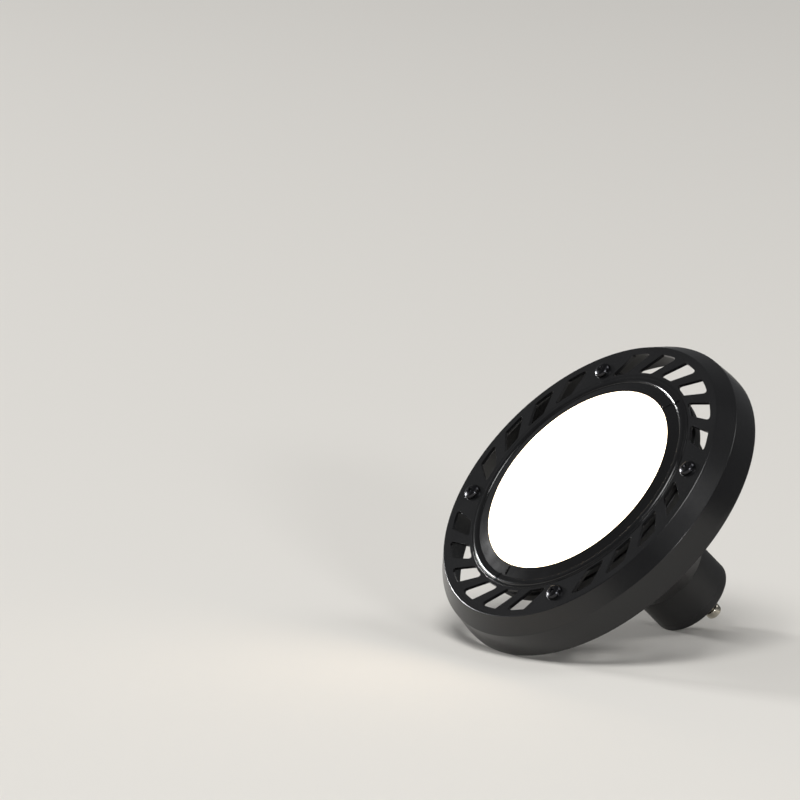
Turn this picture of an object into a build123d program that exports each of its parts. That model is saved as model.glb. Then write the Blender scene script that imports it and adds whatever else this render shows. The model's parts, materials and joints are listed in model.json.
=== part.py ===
from build123d import *
from math import acos, atan2, cos, degrees, hypot, radians, sin, tan
import os

# LED reflector lamp of 111 mm size with a twist-lock pin base. It lies on its rim and its base.
# Heights are measured along the lamp's axis, from the end face of the base towards the light.

# Front ring, pressed from sheet: slotted face, bevel, side wall with a slight flare, straight rear band
rim_radius = 55.5
rim_depth = 13.6
rim_flare_width = 0.7
rim_band_height = 2.0
bevel_width = 3.9
bevel_height = 4.8
ring_face_width = 11.1
ring_sheet_thickness = 1.0
ring_offset = 1.2
line_fillet_radius = 0.6

# Slanted vent slots, on a circle that the ring screws share. Their width is measured round that circle.
slot_places = 24
slot_width = 7.2
slot_slant = 42.0
slot_corner_radius = 1.1
slot_inner_margin = 1.3
slot_outer_margin = 2.5
slot_lead_turn = 1.2
pattern_turn = -21.5
screw_places = (3, 8, 15, 20)

# Ring screws and the lugs that take them
ring_screw_radius = 1.5
ring_screw_length = 5.5
ring_screw_head_radius = 2.6
ring_screw_head_height = 1.6
lug_radius = 3.6
lug_thickness = 5.0

# Bezel with its raised lip
bezel_lap_width = 3.3
bezel_cover_width = 0.4
bezel_edge_height = 0.2
bezel_skirt_thickness = 0.9
lip_inset_width = 1.3
lip_half_width = 1.1
lip_height = 0.6
notch_width = 1.0
notch_depth = 0.4
notch_turns = (-31.5, 178.5)

# Diffuser and reflector
diffuser_thickness = 2.2
diffuser_flange_thickness = 1.2
reflector_sheet_thickness = 0.8
reflector_throat_radius = 8.5
reflector_belly_radius = 22.0
reflector_belly_height = 4.6

# Heat sink: cup, mouth and cooling ribs
mouth_wall_thickness = 3.0
cup_depth = 16.8
cup_wall_thickness = 2.2
cup_floor_thickness = 4.0
cup_floor_radius = 29.5
ledge_width = 1.6
sink_step_height = 4.0
rib_count = 24
rib_thickness = 1.6
rib_height = 2.6

# Light source on its pad, under its holder
pad_side = 15.5
pad_thickness = 0.4
source_side = 13.5
source_thickness = 1.0
source_spot_radius = 5.5
source_spot_height = 0.5
holder_radius = 12.0
holder_thickness = 2.4
holder_window_radius = 6.5
holder_screw_offset = 9.6
holder_screw_radius = 1.0
holder_screw_length = 5.4
holder_head_radius = 1.9
holder_head_height = 1.1

# Driver housing: flange, neck and barrel
barrel_radius = 13.2
barrel_length = 13.6
edge_fillet_radius = 0.8
neck_length = 23.0
neck_top_radius = 27.5
housing_wall_thickness = 1.8
flange_width = 1.5
flange_thickness = 2.0
boss_radius = 3.4
boss_depth = 7.5
boss_wall_gap = 1.8
rail_thickness = 1.0
rail_width = 1.9

# Screws that hold the housing to the heat sink
housing_screw_count = 3
housing_screw_radius = 1.4
housing_screw_length = 10.0
housing_head_radius = 2.4
housing_head_height = 1.8
housing_screw_turn = 30.0

# Base cap and contact pins
cap_thickness = 3.0
cap_spigot_length = 2.5
cap_spigot_thickness = 1.4
pin_spacing = 10.0
pin_length = 7.0
pin_shank_radius = 1.5
pin_head_radius = 2.5
pin_head_length = 2.6
pin_edge_width = 0.5
rivet_radius = 2.3
rivet_height = 1.2

# Driver board and its pieces
board_thickness = 1.6
board_gap = 1.0
board_shoulder_height = 4.0
transformer_width = 14.0
transformer_length = 11.0
core_depth = 5.0
core_yoke_width = 1.8
core_side_leg_width = 2.2
core_centre_leg_width = 3.6
winding_width = 9.2
winding_length = 7.0
winding_depth = 8.0
winding_corner_radius = 1.5
capacitor_radius = 4.0
capacitor_length = 11.0
capacitor_spacing = 9.2
capacitor_edge_width = 0.6
film_width = 6.8
film_length = 6.0
film_depth = 4.5
choke_radius = 3.4
choke_waist_radius = 2.5
choke_height = 5.6
choke_flange_thickness = 0.9
bridge_width = 4.6
bridge_length = 5.0
bridge_depth = 1.6
chip_width = 4.0
chip_length = 5.0
chip_depth = 1.5
fuse_radius = 1.5
fuse_length = 7.0
fuse_cap_length = 1.2
fuse_cap_gap = 0.2
disc_thickness = 0.5
disc_wall_gap = 1.7

# Wires
wire_radius = 0.65
source_wire_offset = 15.0
source_wire_start_depth = 4.0
wire_bend_radius = 1.2
mains_wire_rise_height = 2.6
mains_wire_run_length = 3.0
wire_hole_gap = 0.9

# Clearances
fit_gap = 0.2
hole_gap = 0.1
rest_gap = 0.05

# Heights along the axis, each from the piece that it stands on
sink_seat = barrel_length + neck_length
source_seat = sink_seat + cup_floor_thickness
ledge_height = source_seat + cup_depth
diffuser_back = ledge_height + reflector_sheet_thickness
diffuser_face = diffuser_back + diffuser_thickness
ring_face = diffuser_face - ring_offset
ring_back = ring_face - ring_sheet_thickness
bevel_base = ring_face - bevel_height
rim_rear = ring_face - rim_depth
band_top = rim_rear + rim_band_height

# Radii from the rim inwards
rim_inner = rim_radius - ring_sheet_thickness
bevel_radius = rim_radius - rim_flare_width
ring_face_radius = bevel_radius - bevel_width
ring_bore = ring_face_radius - ring_face_width
mouth_outer = ring_bore - fit_gap
mouth_radius = mouth_outer - mouth_wall_thickness
lip_centre = mouth_outer - lip_inset_width
bezel_opening = mouth_radius - bezel_lap_width
bezel_radius = ring_bore + bezel_cover_width
skirt_outer = mouth_radius - fit_gap
skirt_inner = skirt_outer - bezel_skirt_thickness
diffuser_radius = skirt_inner - fit_gap
ledge_inner = mouth_radius - ledge_width
barrel_inner = barrel_radius - housing_wall_thickness
neck_top_inner = neck_top_radius - housing_wall_thickness
flange_radius = neck_top_radius + flange_width
housing_screw_circle_radius = neck_top_inner - boss_wall_gap - boss_radius
disc_radius = neck_top_inner - disc_wall_gap
board_face = board_thickness / 2
slot_inner = ring_bore + slot_inner_margin
slot_outer = ring_face_radius - slot_outer_margin
slot_circle = (slot_inner + slot_outer) / 2
slot_turn = degrees(slot_width / slot_circle)
slot_twist = degrees((slot_outer - slot_inner) * tan(radians(slot_slant)) / slot_circle)
place_turn = 360 / slot_places
screw_turns = [pattern_turn + (place + 0.5) * place_turn for place in screw_places]
slot_turns = [
    pattern_turn + slot_lead_turn + (place + 0.5) * place_turn
    for place in range(slot_places)
    if place not in screw_places
]

# The lamp leans until the rear edge of its rim and the rounded edge of its base both touch the surface
rest_width = rim_radius - barrel_radius + edge_fillet_radius
rest_height = rim_rear - edge_fillet_radius
lean = acos(edge_fillet_radius / hypot(rest_width, rest_height)) - atan2(rest_height, rest_width)
lift = (barrel_radius - edge_fillet_radius) * cos(lean) + edge_fillet_radius * (1 - sin(lean))
bevel_turn = atan2(bevel_height, bevel_width)
line_centre = ring_face_radius - line_fillet_radius * tan(bevel_turn / 2)
reach_front = (ring_face - line_fillet_radius) * cos(lean) + line_centre * sin(lean) + line_fillet_radius
end_radius = barrel_radius - edge_fillet_radius
reach_back = end_radius * sin(lean) + edge_fillet_radius * (1 - cos(lean))
lamp = Plane(
    origin=((reach_front - reach_back) / 2, 0, lift),
    x_dir=(sin(lean), 0, cos(lean)),
    z_dir=(-cos(lean), 0, sin(lean)),
)
lamp_axis = Axis(lamp.origin, lamp.z_dir)
section = Plane(origin=lamp.origin, x_dir=lamp.x_dir, z_dir=-lamp.y_dir)

os.makedirs("parts", exist_ok=True)

# One vent slot: its ends follow the ring and its sides slant
with BuildSketch() as slot:
    with BuildLine():
        inner_end = CenterArc((0, 0), slot_inner, (slot_twist - slot_turn) / 2, slot_turn)
        outer_end = CenterArc((0, 0), slot_outer, -(slot_twist + slot_turn) / 2, slot_turn)
        Line(inner_end @ 0, outer_end @ 0)
        Line(inner_end @ 1, outer_end @ 1)
    make_face()
    fillet(slot.vertices(), radius=slot_corner_radius)

# Front ring: pressed sheet, coated black
sheet_turn = ring_sheet_thickness * tan(bevel_turn / 2)
with BuildPart() as front_ring:
    with BuildSketch(section):
        with BuildLine():
            Polyline(
                (ring_bore, ring_back),
                (ring_bore, ring_face),
                (ring_face_radius, ring_face),
                (bevel_radius, bevel_base),
                (rim_radius, band_top),
                (rim_radius, rim_rear),
                (rim_inner, rim_rear),
                (rim_inner, band_top),
                (bevel_radius - ring_sheet_thickness, bevel_base - sheet_turn / 2),
                (ring_face_radius - sheet_turn, ring_back),
                close=True,
            )
        make_face()
    revolve(axis=lamp_axis)
    ring_edges = front_ring.edges().filter_by(GeomType.CIRCLE)
    face_edge = ring_edges.filter_by(lambda edge: abs(edge.radius - ring_face_radius) < rest_gap)
    bevel_edge = ring_edges.filter_by(lambda edge: abs(edge.radius - bevel_radius) < rest_gap)
    fillet(face_edge + bevel_edge, radius=line_fillet_radius)
    with BuildSketch(lamp.offset(ring_face)):
        for turn in slot_turns:
            add(slot.sketch, rotation=turn)
        for turn in screw_turns:
            with PolarLocations(slot_circle, 1, start_angle=turn):
                Circle(ring_screw_radius + hole_gap)
    extrude(amount=-2 * ring_sheet_thickness, mode=Mode.SUBTRACT)

# Ring screws: four, their low heads on the face of the ring
with BuildPart() as ring_screws:
    with BuildSketch(lamp.offset(ring_face)):
        for turn in screw_turns:
            with PolarLocations(slot_circle, 1, start_angle=turn):
                Circle(ring_screw_head_radius)
    extrude(amount=ring_screw_head_height)
    head_edges = ring_screws.edges().filter_by(GeomType.CIRCLE).group_by(lamp_axis)[-1]
    chamfer(head_edges, length=ring_screw_head_height / 2)
    with BuildSketch(lamp.offset(ring_face)):
        for turn in screw_turns:
            with PolarLocations(slot_circle, 1, start_angle=turn):
                Circle(ring_screw_radius)
    extrude(amount=-ring_screw_length)

# Heat sink: cast cup with cooling ribs, a mouth for the bezel and four lugs for the ring
rib_foot = sink_seat
rib_top = ring_back - sink_step_height
cup_top_radius = mouth_outer - mouth_wall_thickness / 2
with BuildPart() as heat_sink:
    with BuildSketch(lamp.offset(rib_foot)):
        with PolarLocations(cup_floor_radius + rib_height, rib_count, start_angle=pattern_turn):
            Rectangle(4 * rib_height, rib_thickness)
    extrude(amount=rib_top - rib_foot)
    with BuildSketch(section):
        with BuildLine():
            Polyline(
                (cup_floor_radius - 2 * rib_height, rib_foot),
                (cup_floor_radius + cup_wall_thickness, rib_foot),
                (cup_floor_radius + cup_wall_thickness + rib_height, source_seat),
                (cup_top_radius, rib_top),
                (cup_floor_radius - 2 * rib_height, rib_top),
                close=True,
            )
        make_face()
    revolve(axis=lamp_axis, mode=Mode.INTERSECT)
    with BuildSketch(section):
        with BuildLine():
            Polyline(
                (0, sink_seat),
                (cup_floor_radius + cup_wall_thickness / 2, sink_seat),
                (cup_floor_radius + cup_wall_thickness, source_seat),
                (ledge_inner + cup_wall_thickness, rib_top),
                (mouth_outer, ring_back - mouth_wall_thickness),
                (mouth_outer, ring_face),
                (mouth_radius, ring_face),
                (mouth_radius, ledge_height),
                (ledge_inner, ledge_height),
                (ledge_inner, rib_top),
                (cup_floor_radius, source_seat),
                (0, source_seat),
                close=True,
            )
        make_face()
    revolve(axis=lamp_axis)
    with BuildSketch(section):
        with BuildLine():
            Polyline(
                (0, source_seat),
                (cup_floor_radius, source_seat),
                (ledge_inner, rib_top),
                (ledge_inner, ledge_height),
                (0, ledge_height),
                close=True,
            )
        make_face()
    revolve(axis=lamp_axis, mode=Mode.SUBTRACT)
    with BuildSketch(lamp.offset(ring_back)):
        for turn in screw_turns:
            with PolarLocations(slot_circle, 1, start_angle=turn):
                Circle(lug_radius)
            with PolarLocations((slot_circle + ledge_inner + cup_wall_thickness) / 2, 1, start_angle=turn):
                Rectangle(slot_circle - ledge_inner - cup_wall_thickness, 2 * lug_radius)
    extrude(amount=-lug_thickness)
    with BuildSketch(lamp.offset(ring_back)):
        for turn in screw_turns:
            with PolarLocations(slot_circle, 1, start_angle=turn):
                Circle(ring_screw_radius + rest_gap)
    extrude(amount=-2 * lug_thickness, mode=Mode.SUBTRACT)
    with BuildSketch(lamp.offset(source_seat)):
        with PolarLocations(housing_screw_circle_radius, housing_screw_count, start_angle=housing_screw_turn):
            Circle(housing_screw_radius + hole_gap)
        with Locations((0, holder_screw_offset), (0, -holder_screw_offset)):
            Circle(holder_screw_radius + rest_gap)
        with Locations(
            (source_wire_offset, board_face + wire_radius),
            (-source_wire_offset, board_face + wire_radius),
        ):
            Circle(wire_radius + wire_hole_gap)
    extrude(amount=-2 * cup_floor_thickness, mode=Mode.SUBTRACT)

# Bezel: gloss black ring with a raised lip, which holds the diffuser against the reflector
flange_face = diffuser_back + diffuser_flange_thickness
lip_foot = ring_face + bezel_edge_height
lip_notch_width = 2 * (lip_half_width + bezel_cover_width)
with BuildPart() as bezel:
    with BuildSketch(section):
        with BuildLine():
            Polyline(
                (lip_centre - lip_half_width, lip_foot),
                (bezel_opening, diffuser_face - hole_gap),
                (bezel_opening, flange_face),
                (skirt_inner, flange_face),
                (skirt_inner, diffuser_back),
                (skirt_outer, diffuser_back),
                (skirt_outer, ring_face),
                (bezel_radius, ring_face),
                (bezel_radius, lip_foot),
                (lip_centre + lip_half_width, lip_foot),
            )
            ThreePointArc(
                (lip_centre + lip_half_width, lip_foot),
                (lip_centre, ring_face + lip_height),
                (lip_centre - lip_half_width, lip_foot),
            )
        make_face()
    revolve(axis=lamp_axis)
    with BuildSketch(lamp.offset(ring_face + lip_height)):
        for turn in notch_turns:
            with PolarLocations(lip_centre, 1, start_angle=turn):
                Rectangle(lip_notch_width, notch_width)
    extrude(amount=-notch_depth, mode=Mode.SUBTRACT)

# Diffuser: opal disc with a raised face in the opening of the bezel
with BuildPart() as diffuser:
    with BuildSketch(lamp.offset(diffuser_back)):
        Circle(diffuser_radius)
    extrude(amount=diffuser_flange_thickness)
    with BuildSketch(lamp.offset(flange_face)):
        Circle(bezel_opening - hole_gap)
    extrude(amount=diffuser_thickness - diffuser_flange_thickness)

# Reflector: spun aluminium bowl with a flange on the ledge of the cup
reflector_base = source_seat + holder_thickness
with BuildPart() as reflector:
    with BuildSketch(section):
        with BuildLine():
            ThreePointArc(
                (reflector_throat_radius, reflector_base + reflector_sheet_thickness),
                (reflector_belly_radius, reflector_base + reflector_belly_height + reflector_sheet_thickness),
                (ledge_inner - reflector_sheet_thickness - fit_gap, ledge_height + reflector_sheet_thickness),
            )
            Polyline(
                (ledge_inner - reflector_sheet_thickness - fit_gap, ledge_height + reflector_sheet_thickness),
                (skirt_outer, ledge_height + reflector_sheet_thickness),
                (skirt_outer, ledge_height),
                (ledge_inner - fit_gap, ledge_height),
            )
            ThreePointArc(
                (ledge_inner - fit_gap, ledge_height),
                (reflector_belly_radius, reflector_base + reflector_belly_height),
                (reflector_throat_radius, reflector_base),
            )
            Line(
                (reflector_throat_radius, reflector_base),
                (reflector_throat_radius, reflector_base + reflector_sheet_thickness),
            )
        make_face()
    revolve(axis=lamp_axis)

# Thermal pad under the light source
with BuildPart() as thermal_pad:
    with BuildSketch(lamp.offset(source_seat)):
        Rectangle(pad_side, pad_side)
    extrude(amount=pad_thickness)

# Light source: chip-on-board module with its round lit spot
with BuildPart() as light_source:
    with BuildSketch(lamp.offset(source_seat + pad_thickness)):
        Rectangle(source_side, source_side)
    extrude(amount=source_thickness)
    with BuildSketch(lamp.offset(source_seat + pad_thickness + source_thickness)):
        Circle(source_spot_radius)
    extrude(amount=source_spot_height)

# Holder: moulded ring that clamps the light source
with BuildPart() as source_holder:
    with BuildSketch(lamp.offset(source_seat)):
        Circle(holder_radius)
    extrude(amount=holder_thickness)
    with BuildSketch(lamp.offset(source_seat)):
        Rectangle(pad_side + fit_gap, pad_side + fit_gap)
    extrude(amount=pad_thickness + source_thickness, mode=Mode.SUBTRACT)
    with BuildSketch(lamp.offset(source_seat)):
        Circle(holder_window_radius)
        with Locations((0, holder_screw_offset), (0, -holder_screw_offset)):
            Circle(holder_screw_radius + hole_gap)
    extrude(amount=holder_thickness, mode=Mode.SUBTRACT)
    with BuildSketch(lamp.offset(source_seat + holder_thickness)):
        with Locations((0, holder_screw_offset), (0, -holder_screw_offset)):
            Circle(holder_head_radius + hole_gap)
    extrude(amount=-holder_head_height, mode=Mode.SUBTRACT)

# Holder screws: two
with BuildPart() as holder_screws:
    with BuildSketch(lamp.offset(source_seat + holder_thickness - holder_head_height)):
        with Locations((0, holder_screw_offset), (0, -holder_screw_offset)):
            Circle(holder_head_radius)
    extrude(amount=holder_head_height)
    with BuildSketch(lamp.offset(source_seat + holder_thickness - holder_head_height)):
        with Locations((0, holder_screw_offset), (0, -holder_screw_offset)):
            Circle(holder_screw_radius)
    extrude(amount=-(holder_screw_length - holder_head_height))

# Driver housing: moulded flange, neck and barrel, with screw bosses and rails for the board
rail_place = board_face + fit_gap + rail_thickness / 2
with BuildPart() as driver_housing:
    with BuildSketch(lamp.offset(sink_seat - boss_depth)):
        with PolarLocations(housing_screw_circle_radius, housing_screw_count, start_angle=housing_screw_turn):
            Circle(boss_radius)
    extrude(amount=boss_depth)
    with BuildSketch(lamp.offset(cap_thickness + cap_spigot_length)):
        with Locations(
            (barrel_inner, rail_place),
            (barrel_inner, -rail_place),
            (-barrel_inner, rail_place),
            (-barrel_inner, -rail_place),
        ):
            Rectangle(2 * rail_width, rail_thickness)
    extrude(amount=barrel_length - cap_thickness - cap_spigot_length)
    with BuildSketch(section):
        with BuildLine():
            Polyline(
                (0, cap_thickness),
                (barrel_radius, cap_thickness),
                (barrel_radius, barrel_length),
                (neck_top_radius, sink_seat),
                (0, sink_seat),
                close=True,
            )
        make_face()
    revolve(axis=lamp_axis, mode=Mode.INTERSECT)
    with BuildSketch(section):
        with BuildLine():
            Polyline(
                (barrel_inner, cap_thickness),
                (barrel_radius, cap_thickness),
                (barrel_radius, barrel_length),
                (neck_top_radius - housing_wall_thickness / 2, sink_seat - flange_thickness),
                (flange_radius, sink_seat - flange_thickness),
                (flange_radius, sink_seat),
                (neck_top_inner, sink_seat),
                (neck_top_inner, sink_seat - flange_thickness),
                (barrel_inner, barrel_length),
                close=True,
            )
        make_face()
    revolve(axis=lamp_axis)
    with BuildSketch(lamp.offset(sink_seat)):
        with PolarLocations(housing_screw_circle_radius, housing_screw_count, start_angle=housing_screw_turn):
            Circle(housing_screw_radius + rest_gap)
    extrude(amount=-boss_depth, mode=Mode.SUBTRACT)
    with BuildSketch(lamp.offset(sink_seat)):
        Circle(disc_radius + fit_gap)
    extrude(amount=-disc_thickness, mode=Mode.SUBTRACT)

# Housing screws: three, from inside the cup
with BuildPart() as housing_screws:
    with BuildSketch(lamp.offset(source_seat)):
        with PolarLocations(housing_screw_circle_radius, housing_screw_count, start_angle=housing_screw_turn):
            Circle(housing_head_radius)
    extrude(amount=housing_head_height)
    screw_edges = housing_screws.edges().filter_by(GeomType.CIRCLE).group_by(lamp_axis)[-1]
    chamfer(screw_edges, length=housing_head_height / 2)
    with BuildSketch(lamp.offset(source_seat)):
        with PolarLocations(housing_screw_circle_radius, housing_screw_count, start_angle=housing_screw_turn):
            Circle(housing_screw_radius)
    extrude(amount=-housing_screw_length)

# Insulating disc between the driver and the heat sink
with BuildPart() as insulating_disc:
    with BuildSketch(lamp.offset(sink_seat - disc_thickness)):
        Circle(disc_radius)
        with PolarLocations(housing_screw_circle_radius, housing_screw_count, start_angle=housing_screw_turn):
            Circle(housing_screw_radius + hole_gap, mode=Mode.SUBTRACT)
        with Locations(
            (source_wire_offset, board_face + wire_radius),
            (-source_wire_offset, board_face + wire_radius),
        ):
            Circle(wire_radius + wire_hole_gap, mode=Mode.SUBTRACT)
    extrude(amount=disc_thickness)

# Base cap: closes the barrel and carries the two pins
with BuildPart() as base_cap:
    with BuildSketch(lamp):
        Circle(barrel_radius)
    extrude(amount=cap_thickness)
    end_edge = base_cap.edges().filter_by(GeomType.CIRCLE).sort_by(lamp_axis)[0]
    fillet(end_edge, radius=edge_fillet_radius)
    with BuildSketch(lamp.offset(cap_thickness)):
        Circle(barrel_inner - fit_gap)
        Circle(barrel_inner - fit_gap - cap_spigot_thickness, mode=Mode.SUBTRACT)
    extrude(amount=cap_spigot_length)
    with BuildSketch(lamp):
        with Locations((0, pin_spacing / 2), (0, -pin_spacing / 2)):
            Circle(pin_shank_radius + rest_gap)
    extrude(amount=cap_thickness, mode=Mode.SUBTRACT)


def contact_pin(side):
    """Turned pin with its wide head outside and its riveted end inside the cap."""
    with BuildPart() as pin:
        with BuildSketch(lamp.offset(-pin_length)):
            with Locations((0, side * pin_spacing / 2)):
                Circle(pin_head_radius)
        extrude(amount=pin_head_length)
        chamfer(pin.edges().filter_by(GeomType.CIRCLE), length=pin_edge_width)
        with BuildSketch(lamp.offset(pin_head_length - pin_length)):
            with Locations((0, side * pin_spacing / 2)):
                Circle(pin_shank_radius)
        extrude(amount=pin_length - pin_head_length + cap_thickness)
        with BuildSketch(lamp.offset(cap_thickness)):
            with Locations((0, side * pin_spacing / 2)):
                Circle(rivet_radius)
        extrude(amount=rivet_height)
    return pin.part


contact_pin_left = contact_pin(1)
contact_pin_right = contact_pin(-1)

# Driver board: stands along the axis, its tongue between the rails of the barrel
board_bottom = cap_thickness + cap_spigot_length + board_gap
board_top = sink_seat - flange_thickness - board_gap
tongue_half = barrel_inner - 2 * fit_gap
neck_growth = (neck_top_inner - barrel_inner) / (neck_length - flange_thickness)
board_half = barrel_inner + neck_growth * (board_top - board_shoulder_height - barrel_length) - board_gap
with BuildPart() as driver_board:
    with BuildSketch(section):
        with BuildLine():
            Polyline(
                (-tongue_half, board_bottom),
                (tongue_half, board_bottom),
                (tongue_half, barrel_length),
                (board_half, board_top - board_shoulder_height),
                (board_half, board_top),
                (-board_half, board_top),
                (-board_half, board_top - board_shoulder_height),
                (-tongue_half, barrel_length),
                close=True,
            )
        make_face()
    extrude(amount=board_face, both=True)

# Heights of the pieces on the board, from its two ends
upper_row = board_top - board_shoulder_height - transformer_length / 2
lower_row = board_bottom + board_gap + film_length / 2
front_face = section.offset(board_face)
back_face = section.offset(-board_face)

# Transformer: winding on its bobbin, with the ferrite core round and through it
core_place = back_face.offset(-(winding_depth - core_depth) / 2)
window_width = (transformer_width - core_centre_leg_width - 2 * core_side_leg_width) / 2
window_place = (core_centre_leg_width + window_width) / 2
with BuildPart() as transformer_core:
    with BuildSketch(core_place):
        with Locations((0, upper_row)):
            Rectangle(transformer_width, transformer_length)
        with Locations((window_place, upper_row), (-window_place, upper_row)):
            Rectangle(window_width, transformer_length - 2 * core_yoke_width, mode=Mode.SUBTRACT)
    extrude(amount=-core_depth)

with BuildPart() as transformer_winding:
    with BuildSketch(back_face):
        with Locations((0, upper_row)):
            Rectangle(winding_width, winding_length)
    extrude(amount=-winding_depth)
    fillet(transformer_winding.edges().filter_by(lamp_axis), radius=winding_corner_radius)
    with BuildSketch(core_place.offset(fit_gap)):
        with Locations((0, upper_row)):
            Rectangle(core_centre_leg_width + 2 * fit_gap, winding_length)
    extrude(amount=-(core_depth + 2 * fit_gap), mode=Mode.SUBTRACT)

# Two electrolytic capacitors, lying along the board
capacitor_centre = board_face + rest_gap + capacitor_radius


def electrolytic_capacitor(side):
    """Round can with bevelled ends."""
    with BuildPart() as can:
        with BuildSketch(lamp.offset(upper_row - capacitor_length / 2)):
            with Locations((side * capacitor_spacing / 2, -capacitor_centre)):
                Circle(capacitor_radius)
        extrude(amount=capacitor_length)
        chamfer(can.edges().filter_by(GeomType.CIRCLE), length=capacitor_edge_width)
    return can.part


input_capacitor = electrolytic_capacitor(1)
output_capacitor = electrolytic_capacitor(-1)

# Film capacitor: box beside the mains wire
film_place = wire_radius + board_gap + film_width / 2
with BuildPart() as film_capacitor:
    with BuildSketch(front_face):
        with Locations((film_place, lower_row)):
            Rectangle(film_width, film_length)
    extrude(amount=film_depth)
    chamfer(film_capacitor.faces().sort_by(Axis.Y)[0].edges(), length=capacitor_edge_width)

# Bridge rectifier: flat block on the other side of the mains wire
with BuildPart() as bridge_rectifier:
    with BuildSketch(front_face):
        with Locations((-film_place, lower_row)):
            Rectangle(bridge_width, bridge_length)
    extrude(amount=bridge_depth)

# Choke: wound drum that stands on the board
choke_place = wire_radius + board_gap / 2 + choke_radius
with BuildPart() as choke:
    with BuildSketch(back_face):
        with Locations((choke_place, lower_row)):
            Circle(choke_radius)
    extrude(amount=-choke_flange_thickness)
    with BuildSketch(back_face.offset(-choke_flange_thickness)):
        with Locations((choke_place, lower_row)):
            Circle(choke_waist_radius)
    extrude(amount=-(choke_height - 2 * choke_flange_thickness))
    with BuildSketch(back_face.offset(choke_flange_thickness - choke_height)):
        with Locations((choke_place, lower_row)):
            Circle(choke_radius)
    extrude(amount=-choke_flange_thickness)

# Controller chip, near the top of the board
chip_place = source_wire_offset - wire_radius - board_gap - chip_width / 2
with BuildPart() as controller_chip:
    with BuildSketch(back_face):
        with Locations((-chip_place, board_top - board_gap - chip_length / 2)):
            Rectangle(chip_width, chip_length)
    extrude(amount=-chip_depth)

# Fuse resistor: rod with two end caps
fuse_centre = board_face + rest_gap + fuse_radius + fuse_cap_gap
with BuildPart() as fuse_resistor:
    with BuildSketch(lamp.offset(lower_row - fuse_length / 2)):
        with Locations((-choke_place, fuse_centre)):
            Circle(fuse_radius)
    extrude(amount=fuse_length)
    with BuildSketch(
        lamp.offset(lower_row - fuse_length / 2),
        lamp.offset(lower_row + fuse_length / 2 - fuse_cap_length),
    ):
        with Locations((-choke_place, fuse_centre)):
            Circle(fuse_radius + fuse_cap_gap)
    extrude(amount=fuse_cap_length)


def source_wire(side):
    """Wire from the board, up through the floor of the cup and in to the holder."""
    height = source_seat + pad_thickness + wire_radius + rest_gap
    start = source_seat - cup_floor_thickness - flange_thickness - board_gap - source_wire_start_depth
    wire_plane = section.offset(-(board_face + wire_radius + rest_gap))
    with BuildPart() as wire:
        with BuildLine(wire_plane) as route:
            FilletPolyline(
                (side * source_wire_offset, start),
                (side * source_wire_offset, height),
                (side * (holder_radius + rest_gap), height),
                radius=wire_bend_radius,
            )
        with BuildSketch(Plane(route.line @ 0, z_dir=route.line % 0)):
            Circle(wire_radius)
        sweep()
    return wire.part


source_wire_positive = source_wire(1)
source_wire_negative = source_wire(-1)


def mains_wire(side):
    """Wire from the riveted end of a pin to the face of the board."""
    start = cap_thickness + rivet_height
    bend_start = start + mains_wire_rise_height
    bend_end = bend_start + mains_wire_run_length
    board_side = side * (board_face + wire_radius + rest_gap)
    wire_plane = Plane(origin=lamp.origin, x_dir=lamp.y_dir, z_dir=lamp.x_dir)
    with BuildPart() as wire:
        with BuildLine(wire_plane) as route:
            FilletPolyline(
                (side * pin_spacing / 2, start),
                (side * pin_spacing / 2, bend_start),
                (board_side, bend_end),
                (board_side, bend_end + mains_wire_run_length),
                radius=wire_bend_radius,
            )
        with BuildSketch(Plane(route.line @ 0, z_dir=route.line % 0)):
            Circle(wire_radius)
        sweep()
    return wire.part


mains_wire_live = mains_wire(1)
mains_wire_neutral = mains_wire(-1)

# Each piece is labelled and written to a file of its own
pieces = {
    "front_ring": front_ring.part,
    "ring_screws": ring_screws.part,
    "bezel": bezel.part,
    "diffuser": diffuser.part,
    "heat_sink": heat_sink.part,
    "reflector": reflector.part,
    "light_source": light_source.part,
    "source_holder": source_holder.part,
    "holder_screws": holder_screws.part,
    "thermal_pad": thermal_pad.part,
    "driver_housing": driver_housing.part,
    "housing_screws": housing_screws.part,
    "insulating_disc": insulating_disc.part,
    "base_cap": base_cap.part,
    "contact_pin_left": contact_pin_left,
    "contact_pin_right": contact_pin_right,
    "driver_board": driver_board.part,
    "transformer_core": transformer_core.part,
    "transformer_winding": transformer_winding.part,
    "input_capacitor": input_capacitor,
    "output_capacitor": output_capacitor,
    "film_capacitor": film_capacitor.part,
    "choke": choke.part,
    "bridge_rectifier": bridge_rectifier.part,
    "controller_chip": controller_chip.part,
    "fuse_resistor": fuse_resistor.part,
    "source_wire_positive": source_wire_positive,
    "source_wire_negative": source_wire_negative,
    "mains_wire_live": mains_wire_live,
    "mains_wire_neutral": mains_wire_neutral,
}
for name, piece in pieces.items():
    piece.label = name
    export_step(piece, f"parts/{name}.step")
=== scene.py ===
import json
from math import acos, atan2, cos, pi, radians, sin, tan

import bmesh
import bpy
from bpy.props import FloatProperty, FloatVectorProperty, IntProperty, PointerProperty
from mathutils import Matrix, Vector


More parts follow.
